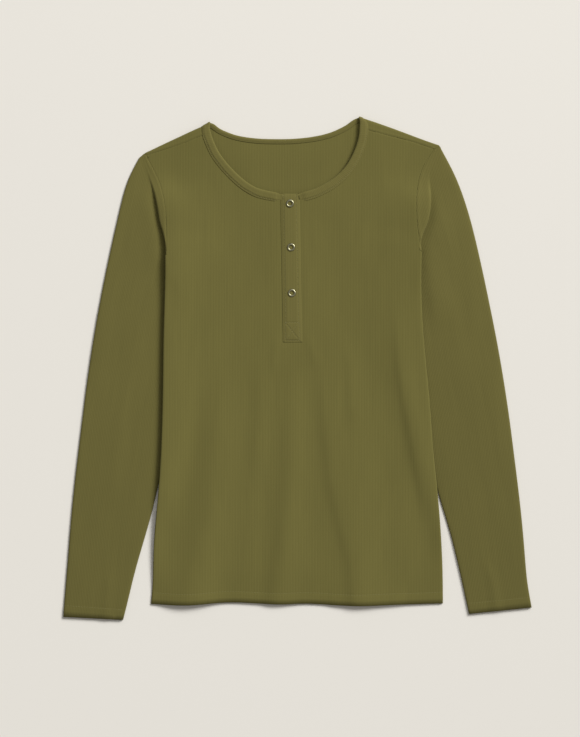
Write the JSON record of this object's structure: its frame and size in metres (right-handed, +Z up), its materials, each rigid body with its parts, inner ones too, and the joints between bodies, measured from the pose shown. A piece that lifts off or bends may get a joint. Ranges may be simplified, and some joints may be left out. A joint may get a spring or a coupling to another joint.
{
  "type": "henley shirt",
  "caption": "Long-sleeve henley shirt in fine rib knit, laid flat, with a round bound neck, a snap placket, set-in sleeves and plain turned-up hems.",
  "frame": {"origin": "under the middle of the shirt's bounding box, on the surface it lies on", "axes": "+Z up from the surface it lies on, +Y towards the neck, +X towards the wearer's left arm"},
  "size_m": [0.6272, 0.6728, 0.0099],
  "materials": {
    "cloth": "matt olive rib knit",
    "trim": "matt olive knit, in two layers",
    "metal": "polished"
  },
  "bodies": {
    "root": {"front_panel": "cloth", "back_panel": "cloth", "sleeve_right_arm": "cloth", "sleeve_left_arm": "cloth", "neck_binding": "trim", "placket_over": "trim", "placket_under": "trim", "snap_ring_1": "metal", "snap_ring_2": "metal", "snap_ring_3": "metal", "snap_core_1": "metal", "snap_core_2": "metal", "snap_core_3": "metal"}
  },
  "joints": []
}
